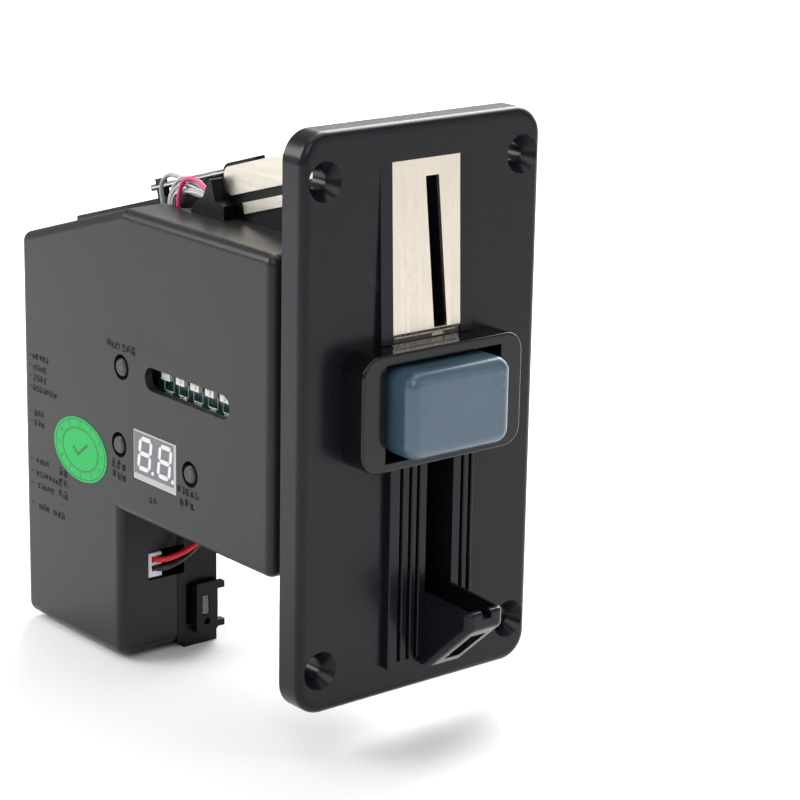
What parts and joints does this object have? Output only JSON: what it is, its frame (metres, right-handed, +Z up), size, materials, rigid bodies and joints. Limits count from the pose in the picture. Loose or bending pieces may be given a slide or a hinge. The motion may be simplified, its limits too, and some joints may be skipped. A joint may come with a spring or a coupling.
{
  "type": "coin acceptor",
  "caption": "Panel-mounted electronic coin acceptor with a leaning coin slit in a metal bezel, a lit reject button, a return cup and a deep sensing body with display and keys.",
  "frame": {"origin": "middle of the front plate's rear face, which seats on the cabinet panel, and centre of the four panel screws", "axes": "+X right seen from the front, +Y into the cabinet, +Z up; the front plate faces -Y"},
  "size_m": [0.065, 0.1322, 0.137],
  "materials": {
    "black_gloss": "semi-gloss moulded black",
    "nickel": "warm nickel, brushed",
    "button_blue": "smoky blue, lightly translucent",
    "white_plastic": "natural nylon white",
    "spring_steel": "bright drawn wire",
    "lamp_glass": "clear",
    "grey_cover": "fine textured dark grey",
    "black_matte": "fine textured black",
    "plated_steel": "zinc plated",
    "copper_coil": "enamelled copper winding",
    "board_green": "green solder mask",
    "screw_steel": "zinc plated screw",
    "display_face": "pale grey display face",
    "led_lens": "diffuse light lens",
    "key_black": "black key",
    "capacitor_can": "sleeved can",
    "ferrite": "ferrite, ground face",
    "sticker_green": "printed paper label",
    "pvc_pink": "lead insulation",
    "pvc_white": "lead insulation",
    "pvc_grey": "lead insulation",
    "pvc_red": "lead insulation",
    "pvc_black": "lead insulation"
  },
  "bodies": {
    "housing": {"front_plate": "black_gloss", "slot_bezel": "nickel", "button_surround": "black_gloss", "button_spring": "spring_steel", "lamp_holder": "white_plastic", "button_lamp": "lamp_glass", "return_cup": "black_gloss", "side_cover": "grey_cover", "chassis": "black_matte", "coin_deck": "black_matte", "hinge_pin": "spring_steel", "door_spring": "spring_steel", "coin_guide_plate": "nickel", "lead_holder": "black_matte", "return_chute": "black_matte", "accept_chute": "black_matte", "solenoid_frame": "plated_steel", "solenoid_coil": "copper_coil", "plunger_spring": "spring_steel", "main_board": "board_green", "board_screws": "screw_steel", "cover_screws": "screw_steel", "body_screws": "screw_steel", "chute_screws": "screw_steel", "display_module": "display_face", "status_leds": "led_lens", "key_bases": "key_black", "board_chips": "key_black", "board_capacitors": "capacitor_can", "sensor_header": "white_plastic", "sensor_cores": "ferrite", "sensor_windings": "copper_coil", "power_socket": "white_plastic", "power_pins": "plated_steel", "contact_switch": "plated_steel", "speed_switch": "plated_steel", "set_key_base": "key_black", "lamp_socket": "white_plastic", "exit_sensor": "black_matte", "sensor_lens": "lamp_glass", "inspection_sticker": "sticker_green", "lead_pink": "pvc_pink", "lead_white": "pvc_white", "lead_grey": "pvc_grey", "lead_red": "pvc_red", "lead_black": "pvc_black"},
    "reject_button": {"button_cap": "button_blue", "button_frame": "white_plastic"},
    "return_door": {"return_door": "black_matte"},
    "accept_gate": {"accept_gate": "white_plastic"},
    "plunger": {"solenoid_plunger": "plated_steel"},
    "mode_key": {"mode_key": "key_black"},
    "add_key": {"add_key": "key_black"},
    "minus_key": {"minus_key": "key_black"},
    "set_key": {"set_key": "key_black"},
    "contact_knob": {"contact_knob": "key_black"},
    "speed_knob": {"speed_knob": "key_black"}
  },
  "joints": [
    {"name": "button_press", "type": "slide", "parent": "housing", "child": "reject_button", "axis": [0, 1, 0], "range_m": [0, 0.0045], "stiffness_N_per_m": 160, "springref_m": -0.006, "deforming": ["button_spring"]},
    {"name": "door_swing", "type": "hinge", "parent": "housing", "child": "return_door", "pos_m": [-0.00186, 0.00461, 0.05832], "axis": [0, -0.9578, 0.2874], "range_deg": [0, 8.6]},
    {"name": "plunger_pull", "type": "slide", "parent": "housing", "child": "plunger", "axis": [0, -1, 0], "range_m": [0, 0.006], "stiffness_N_per_m": 60, "springref_m": -0.006, "deforming": ["plunger_spring"]},
    {"name": "gate_swing", "type": "hinge", "parent": "housing", "child": "accept_gate", "pos_m": [0, 0.0665, -0.015], "axis": [1, 0, 0], "range_deg": [0, 35.2]},
    {"name": "mode_key_press", "type": "slide", "parent": "housing", "child": "mode_key", "axis": [1, 0, 0], "range_m": [0, 0.0003], "stiffness_N_per_m": 300, "springref_m": -0.0015},
    {"name": "add_key_press", "type": "slide", "parent": "housing", "child": "add_key", "axis": [1, 0, 0], "range_m": [0, 0.0003], "stiffness_N_per_m": 300, "springref_m": -0.0015},
    {"name": "minus_key_press", "type": "slide", "parent": "housing", "child": "minus_key", "axis": [1, 0, 0], "range_m": [0, 0.0003], "stiffness_N_per_m": 300, "springref_m": -0.0015},
    {"name": "set_key_press", "type": "slide", "parent": "housing", "child": "set_key", "axis": [0, -1, 0], "range_m": [0, 0.0003], "stiffness_N_per_m": 300, "springref_m": -0.0015},
    {"name": "contact_knob_slide", "type": "slide", "parent": "housing", "child": "contact_knob", "axis": [0, 0, 1], "range_m": [0, 0.002]},
    {"name": "speed_knob_slide", "type": "slide", "parent": "housing", "child": "speed_knob", "axis": [0, 0, 1], "range_m": [-0.002, 0.002]}
  ],
  "couplings": [
    {"joint": "door_swing", "follows": "button_press", "rad_per_m": 33},
    {"joint": "gate_swing", "follows": "plunger_pull", "rad_per_m": 101.8}
  ]
}
